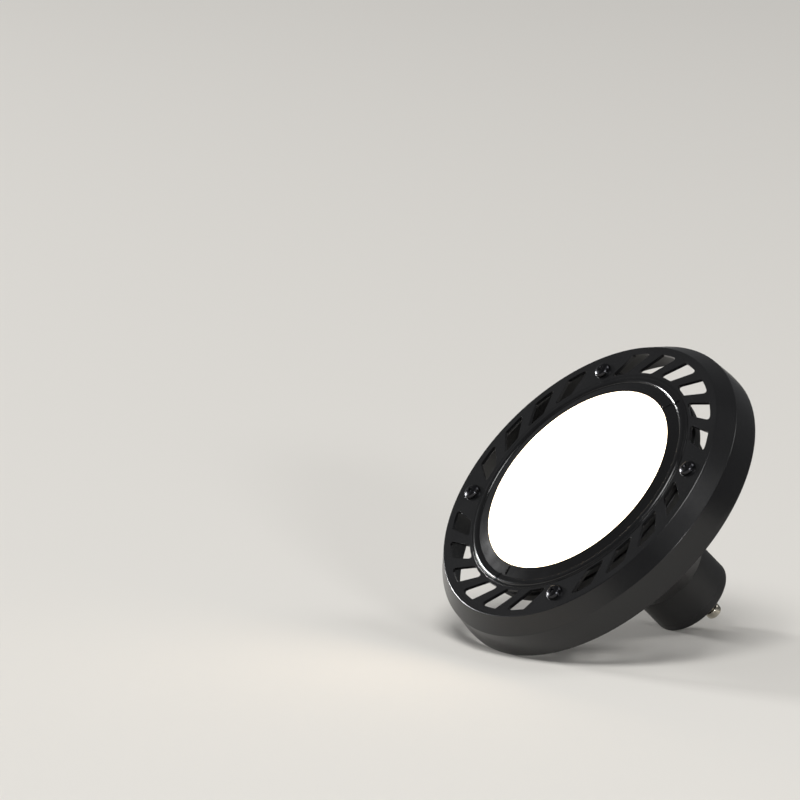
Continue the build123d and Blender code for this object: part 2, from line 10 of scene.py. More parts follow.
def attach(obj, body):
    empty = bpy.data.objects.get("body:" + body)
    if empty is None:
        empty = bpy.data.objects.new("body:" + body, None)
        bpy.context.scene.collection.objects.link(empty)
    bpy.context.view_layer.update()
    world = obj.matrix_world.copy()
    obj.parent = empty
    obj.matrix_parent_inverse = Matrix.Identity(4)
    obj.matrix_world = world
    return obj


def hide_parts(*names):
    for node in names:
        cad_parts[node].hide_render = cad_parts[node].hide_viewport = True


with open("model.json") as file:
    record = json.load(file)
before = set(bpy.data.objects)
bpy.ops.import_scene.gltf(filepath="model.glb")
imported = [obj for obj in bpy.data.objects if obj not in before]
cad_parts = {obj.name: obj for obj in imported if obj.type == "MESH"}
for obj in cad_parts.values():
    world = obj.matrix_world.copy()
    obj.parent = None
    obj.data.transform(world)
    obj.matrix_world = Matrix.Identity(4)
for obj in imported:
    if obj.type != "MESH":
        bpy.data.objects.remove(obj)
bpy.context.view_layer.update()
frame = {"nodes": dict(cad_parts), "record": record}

bl_info = {
    "name": "Reflector Spotlight Lamp",
    "version": (1, 0, 0),
    "blender": (4, 2, 0),
    "location": "3D Viewport > Sidebar > Lamp",
    "description": "Dresses the packed LED reflector lamp and sets it on its stage",
    "category": "Add Mesh",
}

MM = 0.001

# A smooth piece keeps a crease where its faces meet at more than this.
CREASE = radians(32)
# Edges that turn by more than these are rounded: on turned and cast pieces, cut sheet, and square bars.
CORNER = radians(40)
CUT_EDGE = radians(50)
SQUARE_EDGE = radians(60)
# Places of the pattern round the ring that hold a screw, and where the bezel's lip is notched.
SCREW_PLACES = (3, 8, 15, 20)
NOTCH_TURNS = (radians(-30.4), radians(171.6))
# How far round the first screw was driven, and how much further each next one, in radians.
FIRST_SPIN = 0.5
NEXT_SPIN = 1.3
# Foot of the thread's turns, and the plain shank that they stand on, as shares of the thread's radius.
THREAD_FOOT = 0.84
PLAIN_SHANK = 0.86
# Points closer than this count as being at the same place.
NEAR = 0.01 * MM
# Distance between the bands of a wave texture at a scale of 1, in metres.
WAVE_PITCH = 0.31

# The lamp stands oblique: its axis starts at the middle of the base's end face.
# Pieces are modelled upright on that axis, with the light upwards, and are then tilted into place.
MOUNTS = {mount["name"]: mount for mount in frame["record"]["mounts"]}
BASE_END = Vector(MOUNTS["base_end"]["pos_m"])
AXIS = -Vector(MOUNTS["base_end"]["axis"])
UP_THE_FACE = Vector((AXIS.z, 0, -AXIS.x))
LAMP = Matrix((
    (UP_THE_FACE.x, 0, AXIS.x, BASE_END.x),
    (0, 1, 0, BASE_END.y),
    (UP_THE_FACE.z, 0, AXIS.z, BASE_END.z),
    (0, 0, 0, 1),
))
TILT = acos(AXIS.z)


def measure(node):
    """Gives a CAD node's lowest and highest height and its largest radius on the lamp's axis."""
    to_lamp = LAMP.inverted()
    points = [to_lamp @ vert.co for vert in frame["nodes"][node].data.vertices]
    heights = [point.z for point in points]
    return min(heights), max(heights), max(point.xy.length for point in points)


RIM_REAR, RING_FACE, RIM_RADIUS = measure("front_ring")
DIFFUSER_BACK, DIFFUSER_FACE, DIFFUSER_RADIUS = measure("diffuser")


def linear(hex_colour):
    """Turns an sRGB hex colour into the linear red, green, blue and alpha that the shaders take."""
    parts = [int(hex_colour[place:place + 2], 16) / 255 for place in (1, 3, 5)]
    return tuple(
        part / 12.92 if part <= 0.04045 else ((part + 0.055) / 1.055) ** 2.4 for part in parts
    ) + (1.0,)


def length(name, description, millimetres):
    """A length property that takes millimetres and holds metres."""
    return FloatProperty(
        name=name, description=description, default=millimetres * MM, min=0.0, unit="LENGTH"
    )


def colour(name, description, hex_colour):
    """A colour property whose default is an sRGB hex value."""
    return FloatVectorProperty(
        name=name, description=description, default=linear(hex_colour),
        size=4, min=0.0, max=1.0, subtype="COLOR",
    )


def angle(name, description, degrees):
    """An angle property that takes degrees and holds radians."""
    return FloatProperty(name=name, description=description, default=radians(degrees), unit="ROTATION")


class RingSizes(bpy.types.PropertyGroup):
    """Sizes of the pressed front ring and its vent slots."""
    sheet: length("Sheet", "Thickness of the pressed sheet", 1.0)
    bore: length("Bore", "Radius of the hole round the heat sink's mouth", 39.8)
    face: length("Face radius", "Radius of the line between the face and the bevel", 50.9)
    bevel_drop: length("Bevel height", "Height of the bevel along the axis", 4.8)
    flare: length("Flare", "How much wider the rear edge is than the front of the wall", 0.7)
    band: length("Band", "Height of the straight band at the rear edge", 2.0)
    bend: length("Bend", "Outer radius of the two pressed bends", 0.6)
    edge: length("Edge", "Width of the rounding on the punched and cut edges", 0.022)
    slot_inner: length("Slot inner end", "Radius of the inner ends of the slots", 41.1)
    slot_outer: length("Slot outer end", "Radius of the outer ends of the slots", 48.4)
    slot_width: length("Slot width", "Width of a slot, measured round the ring", 7.2)
    slot_corner: length("Slot corner", "Corner radius of a slot", 1.1)
    slot_slant: angle("Slot slant", "Turn of a slot's sides away from the radius", 42)
    slot_lead: angle("Slot lead", "Turn of the slots ahead of the screws", 1.2)
    first_turn: angle("First turn", "Turn of the pattern round the axis", -21.5)
    places: IntProperty(name="Places", description="Slots and screws round the ring", default=24, min=21)


class ScrewSizes(bpy.types.PropertyGroup):
    """Sizes of the four screws that hold the ring."""
    head: length("Head radius", "Radius of the screw's head", 2.6)
    height: length("Head height", "Height of the screw's head", 1.6)
    shank: length("Shank radius", "Outer radius of the thread", 1.5)
    long: length("Shank length", "Length of the shank under the head", 5.5)
    recess: length("Recess", "Half the span of the cross recess", 1.35)
    blade: length("Blade", "Width of one arm of the cross recess", 0.5)
    pitch: length("Pitch", "Distance from one turn of the thread to the next", 0.62)
    flank: length("Flank", "Height of one side of a turn of the thread", 0.22)
    first_thread: length("First thread", "Depth of the first turn's crest under the head", 0.64)
    threads: IntProperty(name="Threads", description="Turns of the thread on a shank", default=7, min=1)
    edge: length("Edge", "Width of the rounding on the head and the recess", 0.07)


class BezelSizes(bpy.types.PropertyGroup):
    """Sizes of the gloss bezel, its lip and the lit disc."""
    opening: length("Opening", "Radius of the opening round the lit disc", 33.3)
    lip: length("Lip radius", "Radius of the lip's crest", 38.3)
    lip_half: length("Lip half width", "Half the width of the lip", 1.1)
    lip_height: length("Lip height", "Height of the lip above the face of the ring", 0.6)
    foot: length("Foot", "Thickness of the bezel's outer edge", 0.2)
    outer: length("Outer radius", "Radius of the bezel's outer edge", 40.2)
    skirt_outer: length("Skirt outer", "Outer radius of the skirt inside the mouth", 36.4)
    skirt_inner: length("Skirt inner", "Inner radius of the skirt inside the mouth", 35.5)
    flange: length("Flange", "Thickness of the disc's flange under the bezel", 1.2)
    notch: length("Notch", "Width of the two notches in the lip", 1.0)
    notch_depth: length("Notch depth", "Depth of the notches under the lip's crest", 0.4)
    rib: length("Rib", "Height of the small rib between each notch and the lit disc", 0.3)
    rib_root: length("Rib root", "How far each small rib goes into the bezel", 0.3)
    rib_short: length("Rib shortening", "How much shorter each small rib is than its slope", 0.8)
    rib_edge: length("Rib edge", "Width of the rounding on the small ribs", 0.14)
    rib_lead: angle("Rib lead", "Turn of each small rib ahead of its notch", 3)
    corner: length("Corner", "Corner radius of the notches and the small ribs", 0.2)
    edge: length("Edge", "Width of the rounding on the bezel's edges", 0.12)
    step: length("Step", "Drop from the lit face to the bezel's inner edge", 0.1)
    gap: length("Gap", "Gap between the bezel's inner edge and the raised part of the disc", 0.1)
    disc_edge: length("Disc edge", "Width of the rounding on the lit face", 0.35)


class SinkSizes(bpy.types.PropertyGroup):
    """Sizes of the band round the heat sink's mouth, which closes the inner ends of the vent slots."""
    edge: length("Edge", "Width of the rounding on the casting's edges", 0.25)
    band_edge: length("Band edge", "Width of the rounding on the band's edges", 0.3)
    band_outer: length("Band outer", "Outer radius of the band", 40.2)
    band_inner: length("Band inner", "Radius inside the wall at which the band starts", 35.8)
    band_drop: length("Band drop", "Depth of the band's top below the face of the ring", 3.8)
    band_height: length("Band height", "Height of the band along the axis", 3.0)


class BaseSizes(bpy.types.PropertyGroup):
    """Sizes of the two turned contact pins, and the rounding of the mouldings that hold them."""
    housing_edge: length("Housing edge", "Width of the rounding on the housing's edges", 0.3)
    cap_edge: length("Cap edge", "Width of the rounding on the cap's edges", 0.12)
    pin_spacing: length("Pin spacing", "Distance between the middles of the pins", 10.0)
    pin_head: length("Pin head radius", "Radius of the wide end of a pin", 2.5)
    pin_head_length: length("Pin head length", "Length of the wide end of a pin", 2.6)
    pin_shank: length("Pin shank radius", "Radius of a pin where it enters the cap", 1.5)
    pin_edge: length("Pin edge", "Rounding of the edges of the wide end", 0.5)
    rivet: length("Rivet radius", "Radius of the riveted end inside the cap", 2.3)
    rivet_height: length("Rivet height", "Height of the riveted end inside the cap", 1.2)


class Finishes(bpy.types.PropertyGroup):
    """Colours that a user would change."""
    ring: colour("Ring", "Satin powder coat of the pressed ring", "#0f0f10")
    sink: colour("Heat sink", "Black coated casting", "#121213")
    bezel: colour("Bezel", "Polished black plastic", "#0a0a0b")
    housing: colour("Housing", "Moulded black plastic of the housing and base", "#131314")
    glow: colour("Glow", "Warm white of the lit disc", "#ffe8c6")
    floor: colour("Floor", "Pale studio floor", "#dedbd5")
    brightness: FloatProperty(
        name="Brightness", description="Strength of the light that the opal disc gives",
        default=9.0, min=0.0,
    )


def add(tree, kind, settings=None, **links):
    """Adds a node, sets its properties and sockets, and links its inputs."""
    node = tree.nodes.new(kind)
    for name, value in (settings or {}).items():
        if hasattr(node, name):
            setattr(node, name, value)
        else:
            node.inputs[name].default_value = value
    for name, source in links.items():
        tree.links.new(source, node.inputs[name.replace("_", " ")])
    return node


def finish_named(name):
    """Makes a material and gives it with its node tree and its principled shader."""
    material = bpy.data.materials.new(name)
    material.use_nodes = True
    return material, material.node_tree, material.node_tree.nodes["Principled BSDF"]


def lamp_coordinates(tree):
    """Object coordinates turned upright on the lamp's axis, with its base end at zero."""
    source = add(tree, "ShaderNodeTexCoord")
    base = LAMP.inverted() @ Vector((0, 0, 0))
    return add(
        tree, "ShaderNodeMapping",
        settings={"vector_type": "POINT", "Location": base, "Rotation": (0, TILT, 0)},
        Vector=source.outputs["Object"],
    ).outputs["Vector"]


def grain(tree, vector, size_mm, detail=2.0, roughness=0.5):
    """Noise whose lumps are about the given size."""
    return add(
        tree, "ShaderNodeTexNoise",
        settings={"Scale": 1 / (size_mm * MM), "Detail": detail, "Roughness": roughness},
        Vector=vector,
    ).outputs["Fac"]


def from_axis(tree, where):
    """Distance from the lamp's axis."""
    flat = add(tree, "ShaderNodeVectorMath", settings={"operation": "MULTIPLY"}, Vector=where)
    flat.inputs[1].default_value = (1, 1, 0)
    return add(
        tree, "ShaderNodeVectorMath", settings={"operation": "LENGTH"}, Vector=flat.outputs["Vector"]
    ).outputs["Value"]


def spread(tree, source, low, high):
    """Spreads a value from 0 to 1 over another range."""
    return add(
        tree, "ShaderNodeMapRange", settings={"To Min": low, "To Max": high}, Value=source
    ).outputs["Result"]


def raise_surface(tree, shader, height, depth_mm):
    """Bumps the surface by a height pattern of the given depth."""
    bump = add(
        tree, "ShaderNodeBump", settings={"Strength": 1.0, "Distance": depth_mm * MM}, Height=height
    )
    tree.links.new(bump.outputs["Normal"], shader.inputs["Normal"])


def tint(tree, shader, pattern, dark, light):
    """Colours the surface between two colours by a pattern."""
    mix = add(tree, "ShaderNodeMix", {"data_type": "RGBA"}, Factor=pattern)
    first, second = [socket for socket in mix.inputs if socket.type == "RGBA"]
    first.default_value, second.default_value = dark, light
    tree.links.new(mix.outputs[2], shader.inputs["Base Color"])


def shade(value, factor):
    """A colour made darker or lighter."""
    return tuple(min(1.0, part * factor) for part in value[:3]) + (1.0,)


def coated_metal(name, base, lump_mm, depth_mm, rough_low, rough_high):
    """Black coat on metal: satin, with the soft orange peel of a coat that has flowed out."""
    material, tree, shader = finish_named(name)
    where = lamp_coordinates(tree)
    peel = grain(tree, where, lump_mm)
    # Slight clouds of tone and gloss, about 14 mm across, as a sprayed coat has them.
    patches = grain(tree, where, 14, detail=3)
    tint(tree, shader, patches, base, shade(base, 1.35))
    tree.links.new(spread(tree, patches, rough_low, rough_high), shader.inputs["Roughness"])
    shader.inputs["IOR"].default_value = 1.5
    raise_surface(tree, shader, peel, depth_mm)
    return material


def moulded_plastic(name, base, grit_mm, depth_mm, roughness, ior=1.5):
    """Moulded plastic with the fine even grit of a spark-eroded mould."""
    material, tree, shader = finish_named(name)
    where = lamp_coordinates(tree)
    # Real grit is under 0.1 mm. It is drawn coarser than that, because it would be too fine to show.
    grit = grain(tree, where, grit_mm, detail=1)
    patches = grain(tree, where, 9, detail=2)
    tint(tree, shader, patches, base, shade(base, 1.25))
    tree.links.new(spread(tree, patches, roughness - 0.04, roughness + 0.05), shader.inputs["Roughness"])
    shader.inputs["IOR"].default_value = ior
    raise_surface(tree, shader, grit, depth_mm)
    return material


def plated_metal(name, base, scratch_mm, roughness):
    """Plated metal: bright, with fine marks from turning or tumbling."""
    material, tree, shader = finish_named(name)
    where = lamp_coordinates(tree)
    marks = grain(tree, where, scratch_mm, detail=4, roughness=0.7)
    tint(tree, shader, marks, shade(base, 0.8), base)
    tree.links.new(spread(tree, marks, roughness - 0.08, roughness + 0.1), shader.inputs["Roughness"])
    shader.inputs["Metallic"].default_value = 1.0
    raise_surface(tree, shader, marks, 0.01)
    return material


def polished_plastic(finishes):
    """Polished ABS: near-mirror black with faint handling marks that only show in the gloss."""
    material, tree, shader = finish_named("polished_abs_black")
    where = lamp_coordinates(tree)
    smears = grain(tree, where, 6, detail=2, roughness=0.5)
    tint(tree, shader, smears, finishes.bezel, shade(finishes.bezel, 1.3))
    tree.links.new(spread(tree, smears, 0.1, 0.2), shader.inputs["Roughness"])
    shader.inputs["IOR"].default_value = 1.54
    raise_surface(tree, shader, smears, 0.004)
    return material


def opal_plastic(finishes):
    """Opal polycarbonate, lit from behind: even warm white that falls off a little to the edge."""
    material, tree, shader = finish_named("opal_polycarbonate_lit")
    where = lamp_coordinates(tree)
    fall = add(
        tree, "ShaderNodeMapRange",
        settings={
            "interpolation_type": "SMOOTHERSTEP", "From Min": 26 * MM, "From Max": DIFFUSER_RADIUS,
            "To Min": finishes.brightness, "To Max": finishes.brightness * 0.6,
        },
        Value=from_axis(tree, where),
    )
    shader.inputs["Base Color"].default_value = linear("#f4efe6")
    shader.inputs["Roughness"].default_value = 0.35
    shader.inputs["IOR"].default_value = 1.58
    shader.inputs["Emission Color"].default_value = finishes.glow
    tree.links.new(fall.outputs["Result"], shader.inputs["Emission Strength"])
    raise_surface(tree, shader, grain(tree, where, 0.4, detail=1), 0.01)
    return material


def spun_aluminium():
    """Bright spun aluminium: fine rings from the spinning tool, round the lamp's axis."""
    material, tree, shader = finish_named("spun_aluminium")
    where = lamp_coordinates(tree)
    rings = add(
        tree, "ShaderNodeTexWave",
        settings={
            "wave_type": "RINGS", "rings_direction": "Z", "Scale": WAVE_PITCH / (1.86 * MM),
            "Distortion": 0.4,
        },
        Vector=where,
    ).outputs["Fac"]
    tint(tree, shader, rings, linear("#cfd1d3"), linear("#e2e3e4"))
    shader.inputs["Metallic"].default_value = 1.0
    shader.inputs["Roughness"].default_value = 0.22
    raise_surface(tree, shader, rings, 0.01)
    return material


def phosphor_source():
    """White ceramic plate with the round yellow phosphor of a chip-on-board source."""
    material, tree, shader = finish_named("ceramic_and_phosphor")
    where = lamp_coordinates(tree)
    # The phosphor is a spot of 11 mm, with an edge of 0.2 mm where it thins out.
    outside = add(
        tree, "ShaderNodeMapRange", settings={"From Min": 5.4 * MM, "From Max": 5.6 * MM},
        Value=from_axis(tree, where),
    ).outputs["Result"]
    tint(tree, shader, outside, linear("#e8c23c"), linear("#e9e6dc"))
    shader.inputs["Roughness"].default_value = 0.4
    raise_surface(tree, shader, grain(tree, where, 0.3), 0.01)
    return material


def circuit_laminate():
    """Glass and epoxy laminate under green solder resist, with the paler lines of the copper tracks."""
    material, tree, shader = finish_named("fr4_green_resist")
    where = lamp_coordinates(tree)
    along_board = add(
        tree, "ShaderNodeMapping", settings={"Rotation": (radians(90), 0, 0)}, Vector=where
    ).outputs["Vector"]
    tracks = add(
        tree, "ShaderNodeTexBrick",
        settings={"Scale": 1.0, "Mortar Size": 0.35 * MM, "Brick Width": 4.2 * MM, "Row Height": 2.1 * MM},
        Vector=along_board,
    ).outputs["Fac"]
    tint(tree, shader, tracks, linear("#1d5a34"), linear("#2f7a49"))
    shader.inputs["Roughness"].default_value = 0.32
    raise_surface(tree, shader, tracks, 0.03)
    return material


def wound(name, base, pitch_mm, direction):
    """Turns of enamelled wire or tape: close parallel ridges."""
    material, tree, shader = finish_named(name)
    where = lamp_coordinates(tree)
    turns = add(
        tree, "ShaderNodeTexWave",
        settings={
            "wave_type": "BANDS", "bands_direction": direction, "Scale": WAVE_PITCH / (pitch_mm * MM),
            "Distortion": 0.2,
        },
        Vector=where,
    ).outputs["Fac"]
    tint(tree, shader, turns, shade(base, 0.7), base)
    shader.inputs["Roughness"].default_value = 0.3
    raise_surface(tree, shader, turns, 0.08)
    return material


def dress_nodes(finishes):
    """Every CAD node that stays gets the finish of the real piece."""
    # After a colour come the size of the grain in millimetres, on a moulding its depth, and the roughness.
    looks = {
        # Bright spun sheet: mirrors the source in fine rings.
        "reflector": spun_aluminium(),
        # Ceramic under phosphor: a matt yellow spot on white.
        "light_source": phosphor_source(),
        # Moulded polyester: clean, slightly glossy off-white.
        "source_holder": moulded_plastic("pbt_white_moulded", linear("#e7e6e1"), 0.3, 0.01, 0.45),
        # Zinc plate on steel: bluish silver, a little duller on the housing's screws.
        "holder_screws": plated_metal("steel_zinc_plated", linear("#c6c7c9"), 0.4, 0.32),
        "housing_screws": plated_metal("steel_zinc_plated_dull", linear("#b9babc"), 0.4, 0.36),
        # Filled silicone: soft, dull grey with no highlight.
        "thermal_pad": moulded_plastic("silicone_pad_grey", linear("#8b8d90"), 0.4, 0.03, 0.7, 1.41),
        # Pressed paper: straw-coloured and fibrous, quite matt.
        "insulating_disc": moulded_plastic("pressed_paper_insulation", linear("#cbbd92"), 0.5, 0.03, 0.75),
        # Laminate under resist: glossy green over paler tracks.
        "driver_board": circuit_laminate(),
        # Sintered ferrite: dark grey and stony.
        "transformer_core": moulded_plastic("ferrite_sintered", linear("#3a3b3d"), 0.2, 0.02, 0.6),
        # Polyester tape: glossy yellow, stepped where its turns overlap.
        "transformer_winding": wound("polyester_tape_yellow", linear("#d7a92c"), 3.0, "Z"),
        # Shrunk sleeves: thin, smooth and glossy round the cans.
        "input_capacitor": moulded_plastic("pet_sleeve_dark_blue", linear("#1d2536"), 0.6, 0.01, 0.3),
        "output_capacitor": moulded_plastic("pet_sleeve_black", linear("#17181b"), 0.6, 0.01, 0.3),
        # Dipped epoxy: thick, glossy and a little lumpy.
        "film_capacitor": moulded_plastic("epoxy_dip_brown", linear("#7d3420"), 0.8, 0.04, 0.28),
        # Enamelled wire: close copper ridges with a wet gloss.
        "choke": wound("enamelled_copper", linear("#b5693a"), 0.5, "Y"),
        # Transfer-moulded epoxy: black and finely matt.
        "bridge_rectifier": moulded_plastic("epoxy_black_moulded", linear("#1c1c1e"), 0.2, 0.02, 0.55),
        "controller_chip": moulded_plastic("epoxy_black_chip", linear("#1f1f21"), 0.15, 0.015, 0.5),
        # Brushed lacquer: grey-green with a soft shine.
        "fuse_resistor": moulded_plastic("lacquer_green", linear("#4f7a66"), 0.5, 0.02, 0.35),
        # Extruded insulation of the wires: smooth, even colour with a waxy shine.
        "source_wire_positive": moulded_plastic("pvc_red", linear("#b3201c"), 0.5, 0.01, 0.4),
        "source_wire_negative": moulded_plastic("pvc_black", linear("#1a1a1a"), 0.5, 0.01, 0.4),
        "mains_wire_live": moulded_plastic("pvc_brown", linear("#5a3420"), 0.5, 0.01, 0.4),
        "mains_wire_neutral": moulded_plastic("pvc_blue", linear("#1f4f9c"), 0.5, 0.01, 0.4),
    }
    for node, material in looks.items():
        item = frame["nodes"][node]
        for slot in item.material_slots:
            slot.material = material


def keep_piece(bm, name, material, slot, *nodes):
    """Tilts a finished shape into place, smooths it and sets it on the lamp's body."""
    if not bm.faces:
        raise RuntimeError(f"{name} has no surface left")
    bmesh.ops.transform(bm, matrix=LAMP, verts=bm.verts)
    mesh = bpy.data.meshes.new(name)
    bm.to_mesh(mesh)
    bm.free()
    item = bpy.data.objects.new(name, mesh)
    bpy.context.collection.objects.link(item)
    mesh.materials.append(material)
    mesh.shade_smooth()
    mesh.set_sharp_from_angle(angle=CREASE)
    flatten = item.modifiers.new("flat faces stay flat", "WEIGHTED_NORMAL")
    flatten.mode = "FACE_AREA"
    flatten.weight = 100
    flatten.keep_sharp = True
    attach(item, "root")
    if nodes:
        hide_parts(*nodes)


def turn_profile(bm, points, steps):
    """Spins a closed profile of radius and height round the axis, with no edge drawn along the axis."""
    verts = [bm.verts.new((radius, 0, height)) for radius, height in points]
    edges = [
        bm.edges.new((verts[place - 1], verts[place]))
        for place in range(len(verts))
        if points[place - 1][0] + points[place][0] > 0
    ]
    bmesh.ops.spin(
        bm, geom=verts + edges, cent=(0, 0, 0), axis=(0, 0, 1), dvec=(0, 0, 0),
        angle=2 * pi, steps=steps, use_merge=True,
    )
    bmesh.ops.remove_doubles(bm, verts=bm.verts, dist=1e-7)
    bmesh.ops.dissolve_degenerate(bm, dist=1e-7, edges=bm.edges)
    bmesh.ops.recalc_face_normals(bm, faces=bm.faces)


def reach(radius, turn):
    """How far a bevel reaches to give a true arc of a radius on an edge that turns by an angle."""
    return radius * (1 - cos(turn))


def round_edges(bm, width, least_turn, segments, chosen=None):
    """Rounds the edges that turn by more than the given angle."""
    edges = [
        edge for edge in bm.edges
        if len(edge.link_faces) == 2 and edge.calc_face_angle(0) > least_turn
        and (chosen is None or chosen(edge))
    ]
    bmesh.ops.bevel(
        bm, geom=edges, offset=width, offset_type="OFFSET", segments=segments, profile=0.5,
        affect="EDGES", material=-1, clamp_overlap=True, loop_slide=True,
    )


def refined_copy(node, name, material, slot, width, least_turn, extra=None):
    """Copies a CAD piece as one closed skin, rounds its sharp edges and lets it stand for that piece."""
    bm = bmesh.new()
    bm.from_mesh(frame["nodes"][node].data)
    bmesh.ops.remove_doubles(bm, verts=bm.verts, dist=2e-6)
    bmesh.ops.transform(bm, matrix=LAMP.inverted(), verts=bm.verts)
    bmesh.ops.dissolve_limit(bm, angle_limit=radians(0.2), verts=bm.verts, edges=bm.edges)
    round_edges(bm, width, least_turn, 3)
    if extra:
        join(bm, extra)
    keep_piece(bm, name, material, slot, node)


def level_at(height, radius=None):
    """A test for edges that lie level at a height, and on a circle of a radius if one is given."""
    def fits(edge):
        return all(
            abs(vert.co.z - height) < NEAR and (radius is None or abs(vert.co.xy.length - radius) < NEAR)
            for vert in edge.verts
        )
    return fits


def cut_away(target, cutter):
    """Takes one closed bmesh out of another and gives what is left."""
    objects = []
    for bm in (target, cutter):
        mesh = bpy.data.meshes.new("cutting")
        bm.to_mesh(mesh)
        bm.free()
        item = bpy.data.objects.new("cutting", mesh)
        bpy.context.collection.objects.link(item)
        objects.append(item)
    modifier = objects[0].modifiers.new("cut", "BOOLEAN")
    modifier.object = objects[1]
    modifier.operation = "DIFFERENCE"
    modifier.solver = "EXACT"
    bpy.context.view_layer.update()
    evaluated = objects[0].evaluated_get(bpy.context.evaluated_depsgraph_get())
    left = bmesh.new()
    left.from_mesh(evaluated.to_mesh())
    evaluated.to_mesh_clear()
    for item in objects:
        mesh = item.data
        bpy.data.objects.remove(item)
        bpy.data.meshes.remove(mesh)
    return left


def join(whole, part):
    """Adds one bmesh to another."""
    mesh = bpy.data.meshes.new("part")
    part.to_mesh(mesh)
    part.free()
    whole.from_mesh(mesh)
    bpy.data.meshes.remove(mesh)


def place_turns(ring, screws):
    """Turns of the slots, or of the screws, round the ring."""
    step = 2 * pi / ring.places
    first = ring.first_turn if screws else ring.first_turn + ring.slot_lead
    return [
        first + (place + 0.5) * step for place in range(ring.places) if (place in SCREW_PLACES) == screws
    ]


def slot_circle(ring):
    """Radius of the circle through the middles of the slots and screws."""
    return (ring.slot_inner + ring.slot_outer) / 2


def is_upright(edge, height):
    """Tells whether an edge stands through a shape of the given height."""
    return abs(edge.verts[0].co.z - edge.verts[1].co.z) > height / 2


def slot_punch(bm, ring, turn, low, high):
    """The punch of one slot: its ends follow the ring, its sides slant and its corners are round."""
    opening = ring.slot_width / slot_circle(ring)
    twist = (ring.slot_outer - ring.slot_inner) * tan(ring.slot_slant) / slot_circle(ring)
    inner_turn = Matrix.Rotation(turn + (twist - opening) / 2, 3, "Z")
    outer_turn = Matrix.Rotation(turn - (twist + opening) / 2, 3, "Z")
    inner = bm.verts.new(inner_turn @ Vector((ring.slot_inner, 0, low)))
    outer = bm.verts.new(outer_turn @ Vector((ring.slot_outer, 0, low)))
    side = bm.edges.new((inner, outer))
    before = set(bm.faces)
    bmesh.ops.spin(
        bm, geom=[inner, outer, side], cent=(0, 0, 0), axis=(0, 0, 1), dvec=(0, 0, 0),
        angle=opening, steps=2,
    )
    flat = [face for face in bm.faces if face not in before]
    raised = bmesh.ops.extrude_face_region(bm, geom=flat)["geom"]
    bmesh.ops.translate(
        bm, vec=(0, 0, high - low), verts=[item for item in raised if isinstance(item, bmesh.types.BMVert)]
    )
    whole = [face for face in bm.faces if face not in before]
    bmesh.ops.recalc_face_normals(bm, faces=whole)
    # The slant makes two corners blunt and two sharp. Each pair needs its own reach for the same radius.
    for blunt in (True, False):
        corners = [
            edge for edge in bm.edges
            if edge.is_manifold and edge.link_faces[0] not in before and is_upright(edge, high - low)
            and radians(30) < edge.calc_face_angle() < pi - radians(30)
            and (edge.calc_face_angle() < pi / 2) == blunt
        ]
        offset = reach(ring.slot_corner, corners[0].calc_face_angle())
        bmesh.ops.bevel(
            bm, geom=corners, offset=offset, offset_type="OFFSET", segments=6, profile=0.5,
            affect="EDGES", material=-1, clamp_overlap=True,
        )


def rounded_bar(bm, long, wide, corner, low, high, matrix):
    """A bar with rounded corners, standing from one height to the other."""
    made = bmesh.ops.create_cube(bm, size=1.0)["verts"]
    bmesh.ops.scale(bm, vec=(long, wide, high - low), verts=made)
    bmesh.ops.translate(bm, vec=(0, 0, (high + low) / 2), verts=made)
    upright = [edge for edge in bm.edges if edge.verts[0] in made and is_upright(edge, high - low)]
    result = bmesh.ops.bevel(
        bm, geom=upright, offset=corner, offset_type="OFFSET", segments=7, profile=0.5,
        affect="EDGES", material=-1,
    )
    whole = {vert for vert in made if vert.is_valid} | set(result["verts"])
    bmesh.ops.transform(bm, matrix=matrix, verts=list(whole))


def cut_cross(bm, screw):
    """Cuts a cross recess into a screw's head, one tapered arm at a time."""
    for quarter in (0, 1):
        arm = bmesh.new()
        made = bmesh.ops.create_cube(arm, size=1.0)["verts"]
        bmesh.ops.scale(arm, vec=(2 * screw.recess, screw.blade, screw.height * 1.6), verts=made)
        bmesh.ops.translate(arm, vec=(0, 0, screw.height * 1.2), verts=made)
        floor = [vert for vert in made if vert.co.z < screw.height]
        bmesh.ops.scale(arm, vec=(0.45, 1, 1), verts=floor)
        across = Matrix.Rotation(quarter * pi / 2, 3, "Z")
        bmesh.ops.rotate(arm, cent=(0, 0, 0), matrix=across, verts=made)
        bm = cut_away(bm, arm)
    return bm


def add_thread(bm, screw):
    """Puts the turns of a thread round a screw's shank, each a ridge of two flanks."""
    foot = screw.shank * THREAD_FOOT
    for level in range(screw.threads):
        crest = -screw.first_thread - screw.pitch * level
        for bottom, top, middle in (
            (foot, screw.shank, crest - screw.flank / 2),
            (screw.shank, foot, crest + screw.flank / 2),
        ):
            bmesh.ops.create_cone(
                bm, cap_ends=True, segments=32, radius1=bottom, radius2=top, depth=screw.flank,
                matrix=Matrix.Translation((0, 0, middle)),
            )


